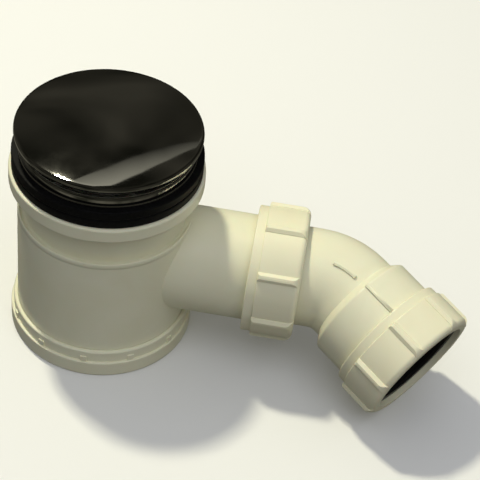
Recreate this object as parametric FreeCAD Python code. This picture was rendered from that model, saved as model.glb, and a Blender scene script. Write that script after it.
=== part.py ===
import FreeCAD, Part
import math
import os
from FreeCAD import Vector

os.makedirs("parts", exist_ok=True)

# Shower trap for a tray waste: a chromed dome and flange over a moulded trap body,
# with a side branch, a swivel elbow and a compression outlet.
# Millimetres. Origin: centre of the base's underside. +Z up the body, +X out along the branch.

# Clearances between separate pieces
free_gap = 0.3
snug_gap = 0.08
seal_gap = 0.05
weld_gap = 0.2
edge_round = 0.8

# Trap body
body_radius = 41.0
body_wall = 2.8
body_lift = 1.0
barrel_height = 66.0
shoulder_step = 3.0
shoulder_round = 1.9
neck_wall = 2.9
neck_height = 18.1
neck_foot_round = 1.0
rim_overhang = 6.9
rim_thickness = 7.5
rim_round = 1.0

# Side branch of the body
branch_z = 46.0
branch_bore_radius = 22.0
branch_wall = 3.2
branch_length = 43.0
branch_thread_height = 2.4
branch_thread_length = 11.5

# Base cap under the body
base_plate_top = 3.0
base_collar_wall = 1.7
base_collar_rise = 6.3
base_ring_step = 1.3
base_ring_height = 8.6
base_edge_round = 1.2
base_inner_wall = 2.3
base_inner_wall_rise = 8.0
lug_count = 12
lug_width = 3.0
lug_height = 3.0
cup_locator_width = 1.5
cup_locator_height = 5.0

# Weir cup and the water seal it holds
overflow_width = 8.2
cup_wall = 1.8
cup_floor = 2.0
cup_lip_flat = 0.1
cup_fin_count = 4
cup_fin_thickness = 1.6
cup_fin_length = 25.7
cup_fin_start_angle = 45.0
seal_depth = 50.0

# Gaskets that grip the shower tray
gasket_inset = 1.3
gasket_thickness = 4.65

# Waste flange
flange_inset = 3.3
flange_height = 5.5
flange_round = 1.6
flange_top_width = 3.1
flange_throat_wall = 1.8
flange_throat_drop = 3.2
flange_ledge_drop = 7.9
flange_skirt_wall = 3.8
flange_skirt_length = 24.9
flange_key_count = 4
flange_key_width = 5.0
flange_key_depth = 1.4
flange_key_height = 6.0

# Strainer with its dip tube
strainer_collar_height = 4.6
strainer_plate_thickness = 2.4
strainer_wall = 2.2
strainer_cone_drop = 11.5
strainer_land = 2.0
seal_width = 8.2
tube_wall = 2.0
tube_rise = 10.0
slot_width = 3.0
slot_margin = 2.5
inner_slot_count = 8
inner_slot_length = 5.5
outer_slot_count = 16
outer_slot_length = 6.5
socket_wall = 3.5
socket_bore_radius = 4.0
socket_rise = 3.4
socket_drop = 5.0
ring_section_radius = 1.0

# Dome cover and the carrier inside it
dome_overhang = 2.2
dome_lip_lift = 4.8
dome_side_height = 1.1
dome_shoulder_rise = 1.6
dome_shoulder_width = 1.6
dome_crown_rise = 4.9
dome_wall = 1.2
carrier_ring_width = 2.4
carrier_ring_height = 1.5
carrier_rib_count = 6
carrier_rib_thickness = 1.6
carrier_rib_depth = 3.4
carrier_stem_length = 7.0
carrier_stem_tip = 0.8

# Union between the branch and the elbow
union_seal_thickness = 2.5
union_collar_thickness = 3.0
union_washer_thickness = 1.5
spigot_length = 12.5

# Ribbed nuts, one at each end of the elbow
nut_wall = 2.1
nut_grip_step = 0.8
nut_rib_height = 1.6
nut_rib_count = 8
nut_rib_width = 4.3
nut_rib_round = 1.3
nut_end_round = 2.6
nut_collar_length = 4.6
nut_collar_round = 0.7
union_nut_thread = 13.2
union_nut_lip = 4.3
union_nut_phase = 8.0
outlet_nut_thread = 15.9
outlet_nut_lip = 2.8
outlet_nut_phase = 10.0
outlet_nut_mouth_lip = 2.0

# Swivel elbow, with a socket at its outlet
elbow_bore_radius = 20.4
elbow_wall = 3.2
elbow_straight = 6.7
bend_inside_radius = 4.4
bend_angle = 39.0
swivel_angle = 66.0
outlet_bevel_start = 3.6
outlet_bevel_length = 3.4
outlet_bevel_round = 1.6
outlet_stop = 16.4
outlet_bore_radius = 22.3
outlet_bore_length = 18.0
outlet_seat_length = 5.5
outlet_lip_wall = 1.4
mould_line_width = 1.8
mould_line_height = 0.9
mould_line_bend_start = 14.0

# Outlet seal, which grips the waste pipe, and its washer
outlet_seal_bore_radius = 21.95
outlet_seal_nose_gap = 1.0
outlet_seal_flange = 3.5
outlet_washer_thickness = 1.4

# Radii that follow from the sizes above, from the body inwards and upwards
body_bore_radius = body_radius - body_wall
neck_radius = body_radius - shoulder_step
neck_bore_radius = neck_radius - neck_wall
rim_radius = neck_radius + rim_overhang
base_collar_radius = body_radius + weld_gap + base_collar_wall
base_radius = base_collar_radius + base_ring_step
cup_radius = body_bore_radius - overflow_width
tube_radius = cup_radius - cup_wall - seal_width
gasket_radius = rim_radius - gasket_inset
flange_radius = gasket_radius - flange_inset
flange_skirt_radius = neck_bore_radius - free_gap
flange_skirt_bore_radius = flange_skirt_radius - flange_skirt_wall
flange_throat_radius = flange_skirt_radius - flange_throat_wall
strainer_radius = flange_throat_radius - free_gap
funnel_radius = flange_skirt_bore_radius - free_gap
socket_radius = socket_bore_radius + socket_wall
dome_radius = flange_radius + dome_overhang

# Heights that follow
body_foot_z = base_plate_top + body_lift
shoulder_z = body_foot_z + barrel_height
rim_bottom_z = shoulder_z + neck_height
rim_top_z = rim_bottom_z + rim_thickness
tray_face_z = rim_top_z + gasket_thickness
flange_seat_z = tray_face_z + gasket_thickness
flange_top_z = flange_seat_z + flange_height
flange_ledge_z = flange_seat_z - flange_ledge_drop
flange_skirt_end = flange_seat_z - flange_skirt_length
dome_lip_z = flange_top_z + dome_lip_lift
strainer_top = flange_ledge_z + strainer_collar_height
plate_underside = strainer_top - strainer_plate_thickness
cover_seat_z = strainer_top + socket_rise
tube_end_z = base_plate_top + tube_rise
weir_z = tube_end_z + seal_depth

# Places along the branch and the elbow that follow, and the radii of what is turned there
branch_radius = branch_bore_radius + branch_wall
branch_thread_radius = branch_radius + branch_thread_height
branch_end = body_radius + branch_length
nut_bore_radius = branch_thread_radius + free_gap
nut_collar_radius = nut_bore_radius + nut_wall
nut_radius = nut_collar_radius + nut_grip_step
nut_rib_radius = nut_radius + nut_rib_height
collar_radius = nut_bore_radius - 2 * free_gap
elbow_radius = elbow_bore_radius + elbow_wall
spigot_radius = branch_bore_radius - free_gap
washer_bore_radius = elbow_radius + free_gap
union_collar_start = branch_end + union_seal_thickness
union_washer_start = union_collar_start + union_collar_thickness
union_lip_start = union_washer_start + union_washer_thickness
union_nut_start = branch_end - union_nut_thread
union_nut_end = union_lip_start + union_nut_lip
bend_start = union_nut_end + elbow_straight
bend_radius = elbow_radius + bend_inside_radius
outlet_socket_radius = branch_thread_radius
outlet_seat_start = outlet_stop + outlet_bore_length
outlet_seat_radius = outlet_socket_radius - outlet_lip_wall
outlet_socket_end = outlet_seat_start + outlet_seat_length
outlet_washer_start = outlet_socket_end + outlet_seal_flange
outlet_lip_start = outlet_washer_start + outlet_washer_thickness
outlet_nut_start = outlet_socket_end - outlet_nut_thread
outlet_nut_end = outlet_lip_start + outlet_nut_lip
outlet_nut_mouth_radius = nut_bore_radius - outlet_nut_mouth_lip
cut_margin = 1.0


def vec(r, z):
    return Vector(r, 0, z)


def profile(corners):
    """Closed face in the XZ plane from (radius, height, corner rounding)."""
    n = len(corners)
    edges = []
    ends = []
    for i in range(n):
        r, z, rounding = corners[i]
        here = vec(r, z)
        if rounding <= 0:
            ends.append((here, here, None))
            continue
        back = vec(*corners[i - 1][:2]) - here
        ahead = vec(*corners[(i + 1) % n][:2]) - here
        half = back.getAngle(ahead) / 2
        reach = rounding / math.tan(half)
        back.normalize()
        ahead.normalize()
        middle = back + ahead
        middle.normalize()
        crest = here + middle * (rounding / math.sin(half) - rounding)
        ends.append((here + back * reach, here + ahead * reach, crest))
    for i in range(n):
        start, stop, crest = ends[i]
        if crest is not None:
            edges.append(Part.Arc(start, crest, stop).toShape())
        following = ends[(i + 1) % n][0]
        if stop.distanceToPoint(following) > 1e-6:
            edges.append(Part.LineSegment(stop, following).toShape())
    return Part.Face(Part.Wire(edges))


def turned(corners):
    """Solid of revolution about Z."""
    return profile(corners).revolve(Vector(0, 0, 0), Vector(0, 0, 1), 360)


def rod(radius, start, end):
    return Part.makeCylinder(radius, end - start, vec(0, start))


def tube(outer, inner, start, end):
    return rod(outer, start, end).cut(rod(inner, start, end))


def ring(outer, inner, start, end, rounding):
    """Flat ring with its outer corners rounded."""
    return turned([(inner, start, 0), (outer, start, rounding), (outer, end, rounding), (inner, end, 0)])


def radial_block(inner, outer, width, bottom, top, angle):
    block = Part.makeBox(outer - inner, width, top - bottom, Vector(inner, -width / 2, bottom))
    block.rotate(Vector(0, 0, 0), Vector(0, 0, 1), angle)
    return block


def radial_blocks(count, start_angle, inner, outer, width, bottom, top):
    angles = [start_angle + i * 360.0 / count for i in range(count)]
    return [radial_block(inner, outer, width, bottom, top, angle) for angle in angles]


def slot(inner, outer, width, bottom, top, angle):
    """Round-ended slot cutter that runs outward from the axis."""
    radius = width / 2
    middle = Part.makeBox(outer - inner, width, top - bottom, Vector(inner, -radius, bottom))
    near = Part.makeCylinder(radius, top - bottom, Vector(inner, 0, bottom))
    far = Part.makeCylinder(radius, top - bottom, Vector(outer, 0, bottom))
    cutter = middle.fuse([near, far]).removeSplitter()
    cutter.rotate(Vector(0, 0, 0), Vector(0, 0, 1), angle)
    return cutter


def along_branch(shape):
    """Move a piece built about Z onto the branch axis, its local +X pointing down."""
    placed = shape.copy()
    placed.rotate(Vector(0, 0, 0), Vector(0, 1, 0), 90)
    placed.translate(Vector(0, 0, branch_z))
    return placed


def on_elbow(shape):
    """As along_branch, then swivelled with the elbow about the branch axis."""
    placed = along_branch(shape)
    placed.rotate(Vector(0, 0, branch_z), Vector(1, 0, 0), -swivel_angle)
    return placed


def past_bend(shape):
    """Carry a piece built about Z to the far end of the bend."""
    placed = shape.copy()
    placed.translate(Vector(0, 0, bend_start))
    placed.rotate(Vector(bend_radius, 0, bend_start), Vector(0, 1, 0), bend_angle)
    return placed


def bend(radius):
    """Curved run of the elbow with a round section."""
    circle = Part.Circle(Vector(0, 0, bend_start), Vector(0, 0, 1), radius)
    disc = Part.Face(Part.Wire(circle.toShape()))
    return disc.revolve(Vector(bend_radius, 0, bend_start), Vector(0, 1, 0), bend_angle)


def one_solid(shape):
    merged = shape.removeSplitter()
    return merged.Solids[0] if len(merged.Solids) == 1 else merged


def save(name, shape):
    shape.exportStep("parts/" + name + ".step")
    print(name, "solids", len(shape.Solids), "valid", shape.isValid(), "cm3", round(shape.Volume / 1000, 2))


# Trap body: barrel, stepped-in neck and clamping rim in one moulding with the branch
body_outside = turned([
    (0, body_foot_z, 0),
    (body_radius, body_foot_z, 0),
    (body_radius, shoulder_z, shoulder_round),
    (neck_radius, shoulder_z, neck_foot_round),
    (neck_radius, rim_bottom_z, neck_foot_round),
    (rim_radius, rim_bottom_z, rim_round),
    (rim_radius, rim_top_z, rim_round),
    (0, rim_top_z, 0),
])
branch_outside = turned([
    (0, 0, 0),
    (branch_radius, 0, 0),
    (branch_radius, branch_end - branch_thread_length, 0),
    (branch_thread_radius, branch_end - branch_thread_length, 0),
    (branch_thread_radius, branch_end, edge_round),
    (0, branch_end, 0),
])
body_inside = turned([
    (0, body_foot_z - cut_margin, 0),
    (body_bore_radius, body_foot_z - cut_margin, 0),
    (body_bore_radius, shoulder_z - body_wall, 0),
    (neck_bore_radius, shoulder_z - body_wall, 0),
    (neck_bore_radius, rim_top_z + cut_margin, 0),
    (0, rim_top_z + cut_margin, 0),
])
branch_bore = along_branch(rod(branch_bore_radius, 0, branch_end + cut_margin))
trap_body = body_outside.fuse(along_branch(branch_outside)).cut(body_inside).cut(branch_bore)
save("trap_body", one_solid(trap_body))

# Base cap: closes the barrel, which stands in its groove, and carries small driving lugs
groove_outer = body_radius + weld_gap
groove_inner = body_bore_radius - weld_gap
base_inner_wall_top = body_foot_z + base_inner_wall_rise
base_collar_top = base_ring_height + base_collar_rise
base_cap = turned([
    (0, 0, 0),
    (base_radius, 0, base_edge_round),
    (base_radius, base_ring_height, base_ring_step / 2),
    (base_collar_radius, base_ring_height, 0),
    (base_collar_radius, base_collar_top, base_collar_wall / 2),
    (groove_outer, base_collar_top, 0),
    (groove_outer, body_foot_z, 0),
    (groove_inner, body_foot_z, 0),
    (groove_inner, base_inner_wall_top, 0),
    (groove_inner - base_inner_wall, base_inner_wall_top, 0),
    (groove_inner - base_inner_wall, base_plate_top, 0),
    (0, base_plate_top, 0),
])
lug_outer = base_radius - base_ring_step / 2
lugs = radial_blocks(
    lug_count, 0, groove_outer + base_collar_wall / 2, lug_outer,
    lug_width, base_ring_height - base_ring_step, base_ring_height + lug_height)
locator_inner = cup_radius + free_gap
cup_locator = tube(
    locator_inner + cup_locator_width, locator_inner,
    base_plate_top, base_plate_top + cup_locator_height)
save("base_cap", one_solid(base_cap.fuse(lugs + [cup_locator])))

# Weir cup: holds the water that the dip tube stands in; fins centre it in the barrel
cup_shell = turned([
    (0, base_plate_top, 0),
    (cup_radius, base_plate_top, 0),
    (cup_radius, weir_z, cup_wall / 2 - cup_lip_flat),
    (cup_radius - cup_wall, weir_z, cup_wall / 2 - cup_lip_flat),
    (cup_radius - cup_wall, base_plate_top + cup_floor, 0),
    (0, base_plate_top + cup_floor, 0),
])
cup_fin_bottom = base_inner_wall_top + free_gap
cup_fins = radial_blocks(
    cup_fin_count, cup_fin_start_angle, cup_radius - cup_wall / 2, body_bore_radius - free_gap,
    cup_fin_thickness, cup_fin_bottom, cup_fin_bottom + cup_fin_length)
save("weir_cup", one_solid(cup_shell.fuse(cup_fins)))

# Two rubber gaskets, one above and one below the tray
save("lower_gasket", ring(gasket_radius, neck_bore_radius, rim_top_z, tray_face_z, edge_round))
save("top_gasket", ring(gasket_radius, neck_bore_radius, tray_face_z, flange_seat_z, edge_round))

# Waste flange: dished top ring, ledge for the strainer and a skirt that screws into the neck
waste_flange = turned([
    (flange_skirt_radius, flange_skirt_end, edge_round),
    (flange_skirt_radius, flange_seat_z, 0),
    (flange_radius, flange_seat_z, edge_round),
    (flange_radius, flange_top_z, flange_round),
    (flange_radius - flange_top_width, flange_top_z, edge_round),
    (flange_throat_radius, flange_top_z - flange_throat_drop, edge_round),
    (flange_throat_radius, flange_ledge_z, 0),
    (flange_skirt_bore_radius, flange_ledge_z, 0),
    (flange_skirt_bore_radius, flange_skirt_end, 0),
])
key_slots = radial_blocks(
    flange_key_count, 180.0 / flange_key_count, flange_skirt_bore_radius - cut_margin,
    flange_skirt_bore_radius + flange_key_depth, flange_key_width,
    flange_skirt_end - cut_margin, flange_skirt_end + flange_key_height)
save("waste_flange", one_solid(waste_flange.cut(key_slots)))

# Strainer: slotted plate, sealing collar, funnel and dip tube in one moulding
funnel_top = flange_ledge_z - strainer_land
funnel_end = funnel_top - strainer_cone_drop
strainer = turned([
    (0, plate_underside, 0),
    (funnel_radius - strainer_wall, plate_underside, 0),
    (funnel_radius - strainer_wall, funnel_top, 0),
    (tube_radius - tube_wall, funnel_end, 0),
    (tube_radius - tube_wall, tube_end_z, 0),
    (tube_radius, tube_end_z, 0),
    (tube_radius, funnel_end, 0),
    (funnel_radius, funnel_top, 0),
    (funnel_radius, flange_ledge_z, 0),
    (strainer_radius, flange_ledge_z, 0),
    (strainer_radius, strainer_top, edge_round),
    (0, strainer_top, 0),
])
socket_end = plate_underside - socket_drop
strainer = strainer.fuse(rod(socket_radius, socket_end, cover_seat_z))
inner_slot_start = socket_radius + slot_margin + slot_width / 2
outer_slot_end = funnel_radius - strainer_wall - slot_margin
strainer_cuts = [rod(socket_bore_radius, socket_end - cut_margin, cover_seat_z + cut_margin)]
for i in range(inner_slot_count):
    strainer_cuts.append(slot(
        inner_slot_start, inner_slot_start + inner_slot_length, slot_width, plate_underside - cut_margin,
        strainer_top + cut_margin, i * 360.0 / inner_slot_count))
for i in range(outer_slot_count):
    strainer_cuts.append(slot(
        outer_slot_end - outer_slot_length, outer_slot_end, slot_width, plate_underside - cut_margin,
        strainer_top + cut_margin, i * 360.0 / outer_slot_count))
ring_centre_radius = flange_throat_radius - seal_gap - ring_section_radius
ring_groove_floor = ring_centre_radius - ring_section_radius - seal_gap
ring_groove_height = 2 * ring_section_radius + free_gap
ring_z = flange_ledge_z + strainer_collar_height / 2
strainer_cuts.append(tube(
    strainer_radius + cut_margin, ring_groove_floor,
    ring_z - ring_groove_height / 2, ring_z + ring_groove_height / 2))
save("strainer_tube", one_solid(strainer.cut(strainer_cuts)))
save("strainer_ring", Part.makeTorus(ring_centre_radius, ring_section_radius, vec(0, ring_z)))

# Dome cover: shallow chromed cap with a turned-down lip
dome_side_z = dome_lip_z + dome_side_height
dome_edge_z = dome_side_z + dome_shoulder_rise
dome_crown_z = dome_edge_z + dome_crown_rise
dome_edge_radius = dome_radius - dome_shoulder_width
inner_side_radius = dome_radius - dome_wall


def dome_arc(drop, edge_radius):
    """Crown of the dome, lowered by drop, from the axis to edge_radius."""
    ball = (dome_edge_radius ** 2 + dome_crown_rise ** 2) / (2 * dome_crown_rise)
    centre_z = dome_crown_z - ball
    reach = ball - drop

    def on_ball(r):
        return vec(r, centre_z + math.sqrt(reach ** 2 - r ** 2))
    return on_ball(0), on_ball(edge_radius / 2), on_ball(edge_radius)


def under_dome(drop):
    """Edges of the dome's inside, drawn from the side to the axis, and their two ends."""
    side = inner_side_radius - drop
    top, middle, edge = dome_arc(dome_wall + drop, side - dome_shoulder_width / 2)
    low = vec(side, edge.z - dome_shoulder_width / 2)
    corner = vec(side - dome_shoulder_width / 7, edge.z - dome_shoulder_width / 7)
    return [Part.Arc(low, corner, edge).toShape(), Part.Arc(edge, middle, top).toShape()], low, top


outer_top, outer_middle, outer_edge = dome_arc(0, dome_edge_radius)
outer_low = vec(dome_radius, dome_side_z)
dome_corner_angle = math.radians(90 / 2)
outer_corner = vec(
    dome_radius - dome_shoulder_width * (1 - math.cos(dome_corner_angle)),
    dome_side_z + dome_shoulder_rise * math.sin(dome_corner_angle))
inner_edges, inner_low, inner_top = under_dome(0)
dome_wire = Part.Wire([
    Part.Arc(outer_top, outer_middle, outer_edge).toShape(),
    Part.Arc(outer_edge, outer_corner, outer_low).toShape(),
    Part.LineSegment(outer_low, vec(dome_radius, dome_lip_z)).toShape(),
    Part.LineSegment(vec(dome_radius, dome_lip_z), vec(inner_side_radius, dome_lip_z)).toShape(),
    Part.LineSegment(vec(inner_side_radius, dome_lip_z), inner_low).toShape(),
    inner_edges[0],
    inner_edges[1],
    Part.LineSegment(inner_top, outer_top).toShape(),
])
save("dome_cover", Part.Face(dome_wire).revolve(Vector(0, 0, 0), Vector(0, 0, 1), 360))

# Cover carrier: ribbed spider under the dome, with the stem that plugs into the strainer
carrier_edges, carrier_low, carrier_top = under_dome(weld_gap)
carrier_hub_z = cover_seat_z
carrier_space = Part.Face(Part.Wire(carrier_edges + [
    Part.LineSegment(carrier_top, vec(0, carrier_hub_z)).toShape(),
    Part.LineSegment(vec(0, carrier_hub_z), vec(socket_radius, carrier_hub_z)).toShape(),
    Part.LineSegment(
        vec(socket_radius, carrier_hub_z),
        vec(socket_radius, dome_lip_z - carrier_rib_depth)).toShape(),
    Part.LineSegment(
        vec(socket_radius, dome_lip_z - carrier_rib_depth),
        vec(carrier_low.x - carrier_ring_width, dome_lip_z)).toShape(),
    Part.LineSegment(
        vec(carrier_low.x - carrier_ring_width, dome_lip_z), vec(carrier_low.x, dome_lip_z)).toShape(),
    Part.LineSegment(vec(carrier_low.x, dome_lip_z), carrier_low).toShape(),
])).revolve(Vector(0, 0, 0), Vector(0, 0, 1), 360)
spider = rod(socket_radius, carrier_hub_z, dome_crown_z).fuse(
    [tube(dome_radius, carrier_low.x - carrier_ring_width, dome_lip_z, dome_lip_z + carrier_ring_height)]
    + radial_blocks(
        carrier_rib_count, 0, 0, dome_radius, carrier_rib_thickness, carrier_hub_z, dome_crown_z))
stem_radius = socket_bore_radius - snug_gap
stem = turned([
    (0, carrier_hub_z - carrier_stem_length, 0),
    (stem_radius, carrier_hub_z - carrier_stem_length, carrier_stem_tip),
    (stem_radius, carrier_hub_z, 0),
    (0, carrier_hub_z, 0),
])
save("cover_carrier", one_solid(carrier_space.common(spider).fuse(stem)))

# Swivel elbow: spigot, collar, bend and outlet socket in one moulding
elbow_outside = turned([
    (0, union_collar_start - spigot_length, 0),
    (spigot_radius, union_collar_start - spigot_length, edge_round),
    (spigot_radius, union_collar_start, 0),
    (collar_radius, union_collar_start, 0),
    (collar_radius, union_washer_start, 0),
    (elbow_radius, union_washer_start, 0),
    (elbow_radius, bend_start, 0),
    (0, bend_start, 0),
])
outlet_bevel_end = outlet_bevel_start + outlet_bevel_length
socket_outside = turned([
    (0, 0, 0),
    (elbow_radius, 0, 0),
    (elbow_radius, outlet_bevel_start, 0),
    (outlet_socket_radius, outlet_bevel_end, outlet_bevel_round),
    (outlet_socket_radius, outlet_socket_end, edge_round),
    (0, outlet_socket_end, 0),
])
mould_line_side = outlet_socket_radius + mould_line_height
socket_line_length = outlet_nut_start - free_gap - outlet_bevel_end
socket_line = past_bend(Part.makeBox(
    mould_line_width, 2 * mould_line_side, socket_line_length,
    Vector(-mould_line_width / 2, -mould_line_side, outlet_bevel_end)))
elbow_line_side = elbow_radius + mould_line_height
elbow_line_face = Part.makePlane(
    mould_line_width, 2 * elbow_line_side, Vector(-mould_line_width / 2, -elbow_line_side, bend_start))
elbow_line = elbow_line_face.revolve(
    Vector(bend_radius, 0, bend_start), Vector(0, 1, 0), bend_angle - mould_line_bend_start)
elbow_line.rotate(Vector(bend_radius, 0, bend_start), Vector(0, 1, 0), mould_line_bend_start)
elbow_inside = [
    rod(elbow_bore_radius, union_collar_start - spigot_length - cut_margin, bend_start),
    bend(elbow_bore_radius),
    past_bend(turned([
        (0, 0, 0),
        (elbow_bore_radius, 0, 0),
        (elbow_bore_radius, outlet_stop, 0),
        (outlet_bore_radius, outlet_stop, 0),
        (outlet_bore_radius, outlet_seat_start, 0),
        (outlet_seat_radius, outlet_socket_end, 0),
        (outlet_seat_radius, outlet_socket_end + cut_margin, 0),
        (0, outlet_socket_end + cut_margin, 0),
    ])),
]
swivel_elbow = elbow_outside.fuse([bend(elbow_radius), past_bend(socket_outside), socket_line, elbow_line])
save("swivel_elbow", one_solid(on_elbow(swivel_elbow.cut(elbow_inside))))

# Flat seal and slip washer of the union
save("union_seal", along_branch(tube(
    collar_radius, branch_bore_radius + free_gap, branch_end, union_collar_start)))
save("union_washer", along_branch(tube(
    collar_radius, washer_bore_radius, union_washer_start, union_lip_start)))


def ribbed_nut(start, end, lip_start, mouth_radius, phase):
    """Hand-tightened nut: plain collar, ribbed grip and an inward lip at its far end."""
    step = start + nut_collar_length
    core = turned([
        (nut_bore_radius, start, 0),
        (nut_collar_radius, start, nut_collar_round),
        (nut_collar_radius, step, 0),
        (nut_radius, step, nut_collar_round / 2),
        (nut_radius, end, nut_end_round),
        (mouth_radius, end, 0),
        (mouth_radius, lip_start, 0),
        (nut_bore_radius, lip_start, 0),
    ])
    rib_space = turned([
        (nut_bore_radius + free_gap, step, 0),
        (nut_rib_radius, step, nut_rib_round),
        (nut_rib_radius, end, nut_end_round + nut_rib_radius - nut_radius),
        (nut_bore_radius + free_gap, end, 0),
    ])
    half = nut_rib_width / 2
    side = math.sqrt(nut_rib_radius ** 2 - half ** 2)
    root = nut_bore_radius + free_gap
    corners = [Vector(root, -half, start), Vector(side - nut_rib_round, -half, start),
               Vector(side, -half + nut_rib_round, start), Vector(nut_rib_radius, 0, start),
               Vector(side, half - nut_rib_round, start), Vector(side - nut_rib_round, half, start),
               Vector(root, half, start)]
    section = Part.Face(Part.makePolygon(corners + corners[:1]))
    bar = section.extrude(Vector(0, 0, end - start))
    ribs = []
    for i in range(nut_rib_count):
        copy = bar.copy()
        copy.rotate(Vector(0, 0, 0), Vector(0, 0, 1), phase + i * 360.0 / nut_rib_count)
        ribs.append(copy.common(rib_space))
    return core.fuse(ribs)


save("union_nut", one_solid(along_branch(ribbed_nut(
    union_nut_start, union_nut_end, union_lip_start, washer_bore_radius, union_nut_phase))))
outlet_nut = ribbed_nut(
    outlet_nut_start, outlet_nut_end, outlet_lip_start, outlet_nut_mouth_radius, outlet_nut_phase)
save("outlet_nut", one_solid(on_elbow(past_bend(outlet_nut))))

# Outlet seal: rubber ring whose tapered nose fills the socket's seat, with its washer
seat_slope = (outlet_seat_radius - outlet_bore_radius) / (outlet_socket_end - outlet_seat_start)
seat_gap = free_gap * math.sqrt(1 + seat_slope ** 2)
nose_radius = outlet_bore_radius + seat_slope * outlet_seal_nose_gap - seat_gap
outlet_seal = turned([
    (outlet_seal_bore_radius, outlet_seat_start + outlet_seal_nose_gap, 0),
    (nose_radius, outlet_seat_start + outlet_seal_nose_gap, 0),
    (outlet_seat_radius - seat_gap, outlet_socket_end, 0),
    (collar_radius, outlet_socket_end, 0),
    (collar_radius, outlet_washer_start, 0),
    (outlet_seal_bore_radius, outlet_washer_start, 0),
])
save("outlet_seal", on_elbow(past_bend(outlet_seal)))
save("outlet_washer", on_elbow(past_bend(tube(
    collar_radius, outlet_bore_radius, outlet_washer_start, outlet_lip_start))))
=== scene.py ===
import math

import bmesh
import bpy
from mathutils import Matrix, Vector


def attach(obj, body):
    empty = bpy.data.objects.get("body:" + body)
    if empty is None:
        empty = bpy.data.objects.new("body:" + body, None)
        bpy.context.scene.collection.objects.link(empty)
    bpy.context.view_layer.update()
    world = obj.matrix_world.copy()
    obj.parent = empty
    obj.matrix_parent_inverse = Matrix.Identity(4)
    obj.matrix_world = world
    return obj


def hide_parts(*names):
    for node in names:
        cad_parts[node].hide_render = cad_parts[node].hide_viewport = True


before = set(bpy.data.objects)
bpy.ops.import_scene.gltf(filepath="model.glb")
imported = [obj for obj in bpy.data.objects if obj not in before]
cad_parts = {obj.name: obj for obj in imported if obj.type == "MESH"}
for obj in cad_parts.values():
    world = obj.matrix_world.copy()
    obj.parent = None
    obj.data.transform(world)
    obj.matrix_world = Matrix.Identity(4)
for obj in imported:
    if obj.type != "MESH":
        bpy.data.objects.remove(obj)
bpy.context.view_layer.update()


# Trap body: barrel, neck, clamping rim and side branch in one injection moulding of ivory
# polypropylene. A thin raised lip runs round the barrel's top, and the branch ends in a coarse
# screw thread, moulded with it, that takes the union nut.
def linear(code):
    """Linear colour of an sRGB hex code."""
    parts = [int(code[i:i + 2], 16) / 255 for i in (1, 3, 5)]
    light = [c / 12.92 if c <= 0.04045 else ((c + 0.055) / 1.055) ** 2.4 for c in parts]
    return (*light, 1.0)


def add_node(tree, kind, links=(), settings=(), stops=(), **values):
    """A node with its socket values, its own settings, a colour ramp's stops as position and
    colour, and its links as (from socket, to socket)."""
    node = tree.nodes.new(kind)
    for name, value in settings:
        setattr(node, name, value)
    for number, (position, colour) in enumerate(stops):
        node.color_ramp.elements[number].position = position
        node.color_ramp.elements[number].color = linear(colour)
    for name, value in values.items():
        node.inputs[name.replace("_", " ")].default_value = value
    for source, name in links:
        tree.links.new(source, node.inputs[name])
    return node


def new_material(name, **values):
    """A material with its Principled shader, whose sockets take the values given."""
    material = bpy.data.materials.new(name)
    material.use_nodes = True
    shader = material.node_tree.nodes["Principled BSDF"]
    for socket, value in values.items():
        shader.inputs[socket.replace("_", " ")].default_value = value
    return material, material.node_tree, shader


def moulded(name, light, dark, gloss, grain_mm, grain_depth_mm):
    """Injection-moulded plastic: a low, milky sheen with faint flow marks, and a gloss that
    handling has evened out in some patches and not in others. The grain of a spark-eroded mould
    is about 0.1 mm across, too fine to show here, so it is drawn some ten times coarser."""
    flow_mark_mm = 36.0
    handled_patch_mm = 15.0
    material, tree, shader = new_material(
        name, Roughness=gloss, IOR=1.49, Subsurface_Weight=0.08, Subsurface_Scale=0.0015)
    place = [(add_node(tree, "ShaderNodeTexCoord").outputs["Object"], "Vector")]
    flow = add_node(
        tree, "ShaderNodeTexNoise", place, Scale=1000.0 / flow_mark_mm, Detail=3.0,
        Roughness=0.55, Distortion=1.2)
    tint = add_node(
        tree, "ShaderNodeValToRGB", [(flow.outputs["Fac"], "Fac")],
        stops=[(0.3, dark), (0.7, light)])
    patches = add_node(
        tree, "ShaderNodeTexNoise", place, Scale=1000.0 / handled_patch_mm, Detail=4.0,
        Roughness=0.55)
    handled = add_node(
        tree, "ShaderNodeMapRange", [(patches.outputs["Fac"], "Value")],
        To_Min=gloss - 0.05, To_Max=gloss + 0.07)
    grain = add_node(
        tree, "ShaderNodeTexNoise", place, Scale=1000.0 / grain_mm, Detail=2.0, Roughness=0.55)
    bump = add_node(
        tree, "ShaderNodeBump", [(grain.outputs["Fac"], "Height")],
        Strength=0.35, Distance=grain_depth_mm / 1000)
    tree.links.new(tint.outputs["Color"], shader.inputs["Base Color"])
    tree.links.new(handled.outputs["Result"], shader.inputs["Roughness"])
    tree.links.new(bump.outputs["Normal"], shader.inputs["Normal"])
    return material


def finish(material, *nodes):
    """Give CAD nodes a material."""
    for name in nodes:
        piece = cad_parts[name]
        piece.data.materials.clear()
        piece.data.materials.append(material)


def add_piece(name, mesh, material, body, node=None):
    """Make a bmesh into a piece that rides on a body, in place of a node if one is named."""
    data = bpy.data.meshes.new(name)
    mesh.to_mesh(data)
    mesh.free()
    data.shade_smooth()
    data.materials.append(material)
    piece = bpy.data.objects.new(name, data)
    bpy.context.collection.objects.link(piece)
    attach(piece, body)
    if node:
        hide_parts(node)
    return piece


def run(mesh, last, to):
    """Carry a profile on in a straight line from its last vertex."""
    ahead = bmesh.ops.extrude_vert_indiv(mesh, verts=[last])["verts"][0]
    ahead.co = Vector(to)
    return ahead


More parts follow.
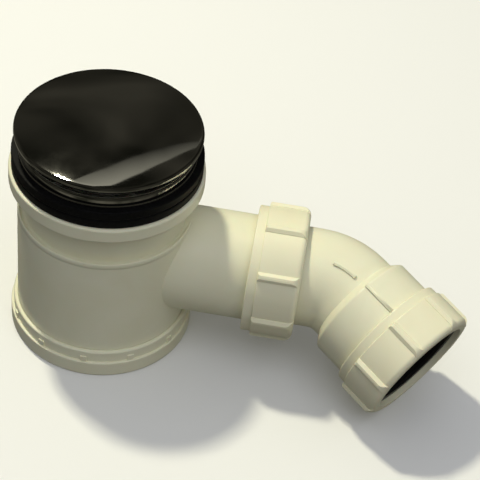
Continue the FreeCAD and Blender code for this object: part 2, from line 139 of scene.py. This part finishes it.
def outline(corners):
    """A closed profile in the XZ plane, given as radius and height."""
    mesh = bmesh.new()
    first = last = mesh.verts.new((corners[0][0], 0.0, corners[0][1]))
    for radius, height in corners[1:]:
        last = run(mesh, last, (radius, 0.0, height))
    mesh.edges.new((last, first))
    return mesh


def turned(mesh):
    """Turn a profile right round the trap's upright axis."""
    bmesh.ops.spin(
        mesh, geom=mesh.verts[:] + mesh.edges[:], cent=(0, 0, 0), axis=(0, 0, 1),
        angle=math.tau, steps=192, use_merge=True)
    bmesh.ops.remove_doubles(mesh, verts=mesh.verts[:], dist=1e-6)
    bmesh.ops.recalc_face_normals(mesh, faces=mesh.faces[:])
    return mesh


def thread(radius, start, length, pitch, place):
    """Screw thread on a plain cylinder: a helical ridge, kept lower than a real one so that it
    turns clear inside the plain bore of the nut."""
    ridge_height = 0.00021
    ridge_root = 0.0002
    half_crest = 0.0003
    half_foot = 0.0010
    steps_per_turn = 72
    mesh = outline([
        (radius - ridge_root, start - half_foot), (radius + ridge_height, start - half_crest),
        (radius + ridge_height, start + half_crest), (radius - ridge_root, start + half_foot)])
    turns = length / pitch
    steps = round(turns * steps_per_turn)
    bmesh.ops.spin(
        mesh, geom=mesh.verts[:] + mesh.edges[:], cent=(0, 0, 0), axis=(0, 0, 1),
        dvec=(0.0, 0.0, length / steps), angle=turns * math.tau, steps=steps, use_merge=False)
    ends = [edge for edge in mesh.edges if edge.is_boundary]
    bmesh.ops.holes_fill(mesh, edges=ends, sides=4)
    bmesh.ops.recalc_face_normals(mesh, faces=mesh.faces[:])
    bmesh.ops.transform(mesh, verts=mesh.verts[:], matrix=place)
    return mesh


# Ivory polypropylene gives the eye an even, slightly yellow white with a soft low gloss
ivory = moulded(
    "moulded ivory polypropylene", light="#EEECD2", dark="#E9E6C9", gloss=0.34,
    grain_mm=1.2, grain_depth_mm=0.03)
finish(ivory, "trap_body")

lip_outline = outline([
    (0.0405, 0.0675), (0.0410, 0.0681), (0.0410, 0.0707), (0.04085, 0.07102),
    (0.0405, 0.07115), (0.04025, 0.07108), (0.0399, 0.0707), (0.0399, 0.0690)])
add_piece("barrel_lip", turned(lip_outline), ivory, "body")

branch_height = 0.046
along_branch = Matrix.Rotation(math.pi / 2, 4, "Y")
on_branch = Matrix.Translation((0.0, 0.0, branch_height)) @ along_branch
nut_thread_radius = 0.0276
nut_pitch = 0.004
branch_thread = thread(
    nut_thread_radius, start=0.0742, length=0.0085, pitch=nut_pitch, place=on_branch)
add_piece("branch_thread", branch_thread, ivory, "body")


# Base cap: a two-stepped ring of the same ivory polypropylene with small lugs round its foot.
# It closes the barrel from below and is welded on, which leaves a fine bead round its collar.
def arc(mesh, last, centre, angle, steps):
    """Carry a profile on from its last vertex round a centre in the XZ plane."""
    swept = bmesh.ops.spin(
        mesh, geom=[last], cent=centre, axis=(0.0, 1.0, 0.0), angle=angle, steps=steps,
        use_merge=False)
    return swept["geom_last"][0]


def bead(radius, height, section):
    """Ring of round section about the trap's upright axis."""
    mesh = bmesh.new()
    start = mesh.verts.new((radius + section, 0.0, height))
    arc(mesh, start, (radius, 0.0, height), math.tau, 16)
    bmesh.ops.remove_doubles(mesh, verts=mesh.verts[:], dist=1e-6)
    return turned(mesh)


finish(ivory, "base_cap")
weld_bead = bead(radius=0.04125, height=0.01335, section=0.0004)
add_piece("weld_bead", weld_bead, ivory, "body")

# Inner mouldings in white polypropylene: the weir cup stands on the base cap, the strainer with
# its dip tube hangs in the flange, the carrier holds the dome up, and the union washer slips
# under the union nut's lip.

# White polypropylene gives the eye a clean neutral white, flatter in gloss than the ivory
white = moulded(
    "moulded white polypropylene", light="#F1F0EA", dark="#E9E8E1", gloss=0.45,
    grain_mm=1.0, grain_depth_mm=0.03)
finish(white, "weir_cup", "strainer_tube", "cover_carrier", "union_washer")


# Gaskets and seals: two thick rings that clamp the tray, the strainer's ring, the union seal
# and the outlet seal. All are black rubber, pressed in a heated mould and held by being squeezed.
def pressed_rubber(name, dark, light, gloss, grain_mm):
    """Pressed rubber: a deep matt black whose fine grain greys it a little. The real grain of
    about 0.1 mm is drawn some ten times coarser, or it would not show."""
    grain_depth = 0.00004
    material, tree, shader = new_material(name, Roughness=gloss, Specular_IOR_Level=0.2)
    place = add_node(tree, "ShaderNodeTexCoord").outputs["Object"]
    grain = add_node(
        tree, "ShaderNodeTexNoise", [(place, "Vector")], Scale=1000.0 / grain_mm, Detail=3.0,
        Roughness=0.55).outputs["Fac"]
    tint = add_node(
        tree, "ShaderNodeValToRGB", [(grain, "Fac")], stops=[(0.35, dark), (0.7, light)])
    bump = add_node(
        tree, "ShaderNodeBump", [(grain, "Height")], Strength=0.4, Distance=grain_depth)
    tree.links.new(tint.outputs["Color"], shader.inputs["Base Color"])
    tree.links.new(bump.outputs["Normal"], shader.inputs["Normal"])
    return material


# Black rubber gives the eye the darkest, least shiny surface of the trap
rubber = pressed_rubber(
    "pressed black rubber", dark="#0A0A0A", light="#141415", gloss=0.6, grain_mm=1.1)
finish(rubber, "lower_gasket", "top_gasket", "strainer_ring", "union_seal", "outlet_seal")


# Waste flange: a dished ring with a threaded skirt, chrome plated all over, and a rounded bead
# round its lower edge. It screws down into the body's neck and clamps the tray between the
# gaskets.
def chrome_plate(name, shade, polished, hazy):
    """Polished chrome plate: a cool, sharp mirror, with patches 17 mm across where wiping and
    water have left a faint haze."""
    haze_patch_mm = 17.0
    material, tree, shader = new_material(name, Base_Color=linear(shade), Metallic=1.0)
    place = add_node(tree, "ShaderNodeTexCoord").outputs["Object"]
    patches = add_node(
        tree, "ShaderNodeTexNoise", [(place, "Vector")], Scale=1000.0 / haze_patch_mm,
        Detail=4.0, Roughness=0.55)
    haze = add_node(
        tree, "ShaderNodeMapRange", [(patches.outputs["Fac"], "Value")],
        From_Min=0.3, From_Max=0.8, To_Min=polished, To_Max=hazy)
    tree.links.new(haze.outputs["Result"], shader.inputs["Roughness"])
    return material


# Polished chrome plate gives the eye little colour of its own, only what it mirrors
chrome = chrome_plate("polished chrome plate", shade="#BDBCB8", polished=0.03, hazy=0.08)
finish(chrome, "waste_flange")

# The bead is rubbed dull by the gasket and the tray, so it shows as a pale line, not a mirror
dull_chrome = chrome_plate(
    "chrome plate dulled on the edge", shade="#E6E5E0", polished=0.36, hazy=0.44)
flange_bead = bead(radius=0.0399, height=0.1056, section=0.0007)
add_piece("flange_bead", flange_bead, dull_chrome, "flange")

skirt_thread = thread(
    radius=0.0348, start=0.0820, length=0.0120, pitch=0.003, place=Matrix.Identity(4))
add_piece("flange_thread", skirt_thread, chrome, "flange")

# Dome cover: a shallow chrome-plated cap, pressed from thin sheet with a rolled edge. It sits on
# the carrier, whose stem plugs into the strainer. The crown's ball meets the rolled edge where
# both slope alike, so the mirror runs over without a crease.
dome_radius = 0.0425
dome_top = 0.1228
dome_lip = 0.1152
sheet = 0.0012
edge_roll = 0.0016
ball_radius = 0.173145
ball_centre = Vector((0.0, 0.0, dome_top - ball_radius))
roll_centre = Vector((dome_radius - edge_roll, 0.0, 0.0))
roll_centre.z = ball_centre.z + math.sqrt((ball_radius - edge_roll) ** 2 - roll_centre.x ** 2)
roll_start = math.atan2(roll_centre.x, roll_centre.z - ball_centre.z)
dome_mesh = bmesh.new()
crown = dome_mesh.verts.new((0.0, 0.0, dome_top))
point = arc(dome_mesh, crown, ball_centre, roll_start, 40)
point = arc(dome_mesh, point, roll_centre, math.pi / 2 - roll_start, 12)
point = run(dome_mesh, point, (dome_radius, 0.0, dome_lip))
point = run(dome_mesh, point, (dome_radius - sheet, 0.0, dome_lip))
point = run(dome_mesh, point, (dome_radius - sheet, 0.0, roll_centre.z))
point = arc(dome_mesh, point, roll_centre, roll_start - math.pi / 2, 6)
arc(dome_mesh, point, ball_centre, -roll_start, 20)
add_piece("dome", turned(dome_mesh), chrome, "cover", "dome_cover")

# Swivel elbow: a bend with a wider outlet socket in ivory polypropylene, moulded in one and held
# in the branch by its collar. A rounded ridge shows where the halves of the mould met, along the
# bend and the socket on both sides, and the socket's end is threaded for the outlet nut.
finish(ivory, "swivel_elbow")

elbow_turn = math.radians(66.0)
bend_angle = math.radians(39.0)
bend_skip = math.radians(14.0)
bend_radius = 0.028
bend_start = Vector((0.102, 0.0, branch_height))
inward = Vector((0.0, -math.sin(elbow_turn), -math.cos(elbow_turn)))
sideways = Vector((0.0, -math.cos(elbow_turn), math.sin(elbow_turn)))
bend_centre = bend_start + bend_radius * inward
bend_turn = Matrix.Rotation(bend_angle, 4, -sideways)
socket_start = bend_centre + bend_turn.to_3x3() @ (bend_start - bend_centre)
outlet_way = bend_turn @ Vector((1.0, 0.0, 0.0))
line_section = 0.0009
line_off_bend = 0.0239
line_off_socket = 0.0279
line_socket_start = 0.0068
line_socket_length = 0.0170


def line_end(ridge, offset):
    """Round section of the mould line, set off to one side where the bend starts."""
    place = Matrix.Translation(bend_start + offset * sideways) @ along_branch
    return bmesh.ops.create_circle(
        ridge, cap_ends=True, segments=12, radius=line_section, matrix=place)["verts"]


for side, name in ((1, "mould_line_upper"), (-1, "mould_line_lower")):
    ridge = bmesh.new()
    on_bend = line_end(ridge, side * line_off_bend)
    bmesh.ops.rotate(
        ridge, verts=on_bend, cent=bend_centre, matrix=Matrix.Rotation(bend_skip, 3, -sideways))
    bmesh.ops.spin(
        ridge, geom=ridge.verts[:] + ridge.edges[:] + ridge.faces[:], cent=bend_centre,
        axis=-sideways, angle=bend_angle - bend_skip, steps=16, use_merge=False)
    on_socket = line_end(ridge, side * line_off_socket)
    bmesh.ops.rotate(ridge, verts=on_socket, cent=bend_centre, matrix=bend_turn.to_3x3())
    bmesh.ops.translate(ridge, verts=on_socket, vec=outlet_way * line_socket_start)
    socket_face = [face for face in ridge.faces if set(face.verts) == set(on_socket)]
    far_end = bmesh.ops.extrude_face_region(ridge, geom=socket_face)["geom"]
    bmesh.ops.translate(
        ridge, verts=[item for item in far_end if isinstance(item, bmesh.types.BMVert)],
        vec=outlet_way * line_socket_length)
    bmesh.ops.recalc_face_normals(ridge, faces=ridge.faces[:])
    add_piece(name, ridge, ivory, "elbow")

socket_thread = thread(
    nut_thread_radius, start=0.0260, length=0.0122, pitch=nut_pitch,
    place=Matrix.Translation(socket_start) @ bend_turn @ along_branch)
add_piece("socket_thread", socket_thread, ivory, "elbow")

# Union nut and outlet nut: eight-ribbed hand nuts, injection moulded in polypropylene from other
# moulds than the body. The first draws the elbow's collar to the branch, the second squeezes the
# seal round the waste pipe.

# Cream polypropylene gives the eye a shade more yellow than the body beside it
cream = moulded(
    "moulded cream polypropylene", light="#F0ECD0", dark="#EBE7C8", gloss=0.36,
    grain_mm=1.0, grain_depth_mm=0.03)
finish(cream, "union_nut", "outlet_nut")

# Outlet washer: a thin slip ring, moulded in black nylon, between the outlet nut's lip and the
# seal. It lets the nut turn without dragging the rubber round.

# Black nylon gives the eye a greyer and glossier black than the rubber behind it
nylon = moulded(
    "moulded black nylon", light="#1A1A1B", dark="#121213", gloss=0.42,
    grain_mm=0.9, grain_depth_mm=0.02)
finish(nylon, "outlet_washer")

# Studio floor: a pale matt sheet that carries the shadow. It throws no light back on the object
# and isn't seen in reflections, because the photograph is a cut-out that shows neither.
bpy.context.scene.view_settings.view_transform = "Standard"


def stage_piece(name, mesh, material):
    """A stage object; its name tells what it is."""
    data = bpy.data.meshes.new(name)
    mesh.to_mesh(data)
    mesh.free()
    data.materials.append(material)
    piece = bpy.data.objects.new(name, data)
    bpy.context.collection.objects.link(piece)
    return piece


floor_material = new_material(
    "pale studio floor", Base_Color=linear("#F0F0EE"), Roughness=0.9)[0]
floor_mesh = bmesh.new()
bmesh.ops.create_grid(floor_mesh, x_segments=1, y_segments=1, size=3.0)
floor = stage_piece("floor", floor_mesh, floor_material)
floor.visible_diffuse = False
floor.visible_glossy = False

# Lights: a small warm key high at the back left throws the shadow and the glint, and two large
# soft fills from the front and the right are kept out of reflections. A pale ceiling all round
# lifts the shadows.
stage_aim = Vector((0.05, 0.0, 0.05))


def softbox(name, towards, distance, width, height, power, colour):
    """Rectangular area light in the given direction from the object, facing it."""
    data = bpy.data.lights.new(name, "AREA")
    data.shape = "RECTANGLE"
    data.size = width
    data.size_y = height
    data.energy = power
    data.color = linear(colour)[:3]
    lamp = bpy.data.objects.new(name, data)
    bpy.context.collection.objects.link(lamp)
    place = Vector(towards).normalized() * distance
    lamp.location = stage_aim + place
    lamp.rotation_euler = (-place).to_track_quat("-Z", "Y").to_euler()
    return lamp


softbox(
    "key softbox", towards=(-0.36, 0.30, 1.0), distance=1.5, width=0.11, height=0.11,
    power=14.5, colour="#FFFBE0")
front_fill = softbox(
    "front fill", towards=(0.1, -0.42, 0.91), distance=1.7, width=1.5, height=1.1,
    power=6.3, colour="#F2F5FF")
front_fill.visible_glossy = False
side_fill = softbox(
    "side fill", towards=(0.75, -0.65, 0.08), distance=1.6, width=0.9, height=0.5,
    power=1.5, colour="#FFFAF0")
side_fill.visible_glossy = False

world = bpy.data.worlds.new("pale ceiling over a dark floor")
world.use_nodes = True
room = world.node_tree
direction = add_node(room, "ShaderNodeTexCoord").outputs["Generated"]
height = add_node(room, "ShaderNodeSeparateXYZ", [(direction, "Vector")]).outputs["Z"]
ceiling = add_node(
    room, "ShaderNodeMapRange", [(height, "Value")], From_Min=-0.1, From_Max=0.8)
shade = add_node(
    room, "ShaderNodeValToRGB", [(ceiling.outputs["Result"], "Fac")],
    stops=[(0.0, "#666663"), (1.0, "#ACADAD")])
room.links.new(shade.outputs["Color"], room.nodes["Background"].inputs["Color"])
bpy.context.scene.world = world
world.cycles_visibility.glossy = False


# Reflection card: a glowing card behind the object, no lamp, seen only in reflections, which
# paints the light band across the dome as a painted reflection. It glows brightest along its
# lower edge and fades out towards the upper one.
def glowing(name):
    """Material of a stage piece that has no surface of its own and only glows."""
    return new_material(
        name, Base_Color=(0.0, 0.0, 0.0, 1.0), Roughness=1.0, Specular_IOR_Level=0.0,
        Emission_Strength=1.0)


def only_reflected(piece):
    """Keep a stage piece out of everything but reflections."""
    piece.visible_camera = False
    piece.visible_diffuse = False
    piece.visible_shadow = False


wall_lower_edge = [
    (-0.30, 0.345, 1.665), (-0.168, 0.458, 1.644), (-0.016, 0.592, 1.606),
    (0.137, 0.754, 1.524), (0.284, 0.949, 1.376), (0.427, 1.174, 1.119), (0.50, 1.32, 0.90)]
wall_upper_edge = [
    (-0.60, 0.45, 1.55), (-0.365, 0.545, 1.579), (-0.133, 0.723, 1.541),
    (0.087, 0.938, 1.413), (0.202, 1.05, 1.31), (0.405, 1.212, 1.083), (0.48, 1.34, 0.88)]
wall_brightens = (0.894, -1.791, -0.733)
wall_mesh = bmesh.new()
for edge in (wall_lower_edge, wall_upper_edge):
    point = wall_mesh.verts.new(edge[0])
    for place in edge[1:]:
        point = run(wall_mesh, point, place)
bmesh.ops.bridge_loops(wall_mesh, edges=wall_mesh.edges[:])
reflection_card_material, wall_tree, wall_shader = glowing("painted reflection card")
wall_place = add_node(wall_tree, "ShaderNodeTexCoord").outputs["Object"]
wall_along = add_node(wall_tree, "ShaderNodeVectorMath", settings=[("operation", "DOT_PRODUCT")])
wall_tree.links.new(wall_place, wall_along.inputs[0])
wall_along.inputs[1].default_value = wall_brightens
wall_fade = add_node(
    wall_tree, "ShaderNodeMapRange", [(wall_along.outputs["Value"], "Value")],
    From_Min=-2.683, From_Max=-2.233)
# Painted reflection: the card's glow, pale at its lower edge and black at its upper one, is what
# the dome mirrors as its band
painted_band_glow = add_node(
    wall_tree, "ShaderNodeValToRGB", [(wall_fade.outputs["Result"], "Fac")],
    stops=[(0.0, "#000000"), (1.0, "#B3B1A2")])
wall_tree.links.new(painted_band_glow.outputs["Color"], wall_shader.inputs["Emission Color"])
only_reflected(stage_piece("painted reflection card", wall_mesh, reflection_card_material))

# Room reflection: a glowing sphere round the stage, no lamp, seen only in reflections, which
# paints a dark room into the chrome as a painted reflection. Its glow has faint paler places
# about 1.4 m across and grows towards the floor, which paints a pale reflected line along the
# flange's edge.
room_patch_mm = 1400.0
room_mesh = bmesh.new()
bmesh.ops.create_icosphere(room_mesh, subdivisions=4, radius=2.8)
room_material, room_tree, room_shader = glowing("painted room reflection")
room_place = add_node(room_tree, "ShaderNodeTexCoord").outputs["Object"]
room_height = add_node(room_tree, "ShaderNodeSeparateXYZ", [(room_place, "Vector")]).outputs["Z"]
# Painted reflection: the sphere glows up to 3.4 times brighter towards the floor, so that the
# chrome edges facing down mirror a pale line
painted_reflection_strength = add_node(
    room_tree, "ShaderNodeMapRange", [(room_height, "Value")],
    From_Min=0.3, From_Max=-0.8, To_Min=1.0, To_Max=3.4)
room_patches = add_node(
    room_tree, "ShaderNodeTexNoise", [(room_place, "Vector")], Scale=1000.0 / room_patch_mm,
    Detail=2.0, Roughness=0.55, Distortion=0.4)
room_colour = add_node(
    room_tree, "ShaderNodeValToRGB", [(room_patches.outputs["Fac"], "Fac")],
    stops=[(0.42, "#181813"), (0.7, "#403E36")])
room_tree.links.new(painted_reflection_strength.outputs["Result"], room_shader.inputs["Emission Strength"])
room_tree.links.new(room_colour.outputs["Color"], room_shader.inputs["Emission Color"])
only_reflected(stage_piece("room reflection sphere", room_mesh, room_material))

# Camera at the photograph's viewing angle: above and in front, a touch right of the body, with a
# long lens. Its turn and lens come from a fit to the outlines of the object's parts, made for a
# distance of 0.7 m, which is a choice: the photograph fits a metre as well.
camera_place = Matrix.Translation((0.088422, -0.501466, 0.533326))
camera_turn = Matrix((
    (0.985799, -0.1641907, 0.0352365),
    (0.1378331, 0.6712484, -0.7283046),
    (0.0959284, 0.7228188, 0.684347))).to_4x4()
camera_data = bpy.data.cameras.new("camera")
camera_data.sensor_width = 36.0
camera_data.lens = 110.18
camera = bpy.data.objects.new("camera", camera_data)
bpy.context.collection.objects.link(camera)
camera.matrix_world = camera_place @ camera_turn
bpy.context.scene.camera = camera
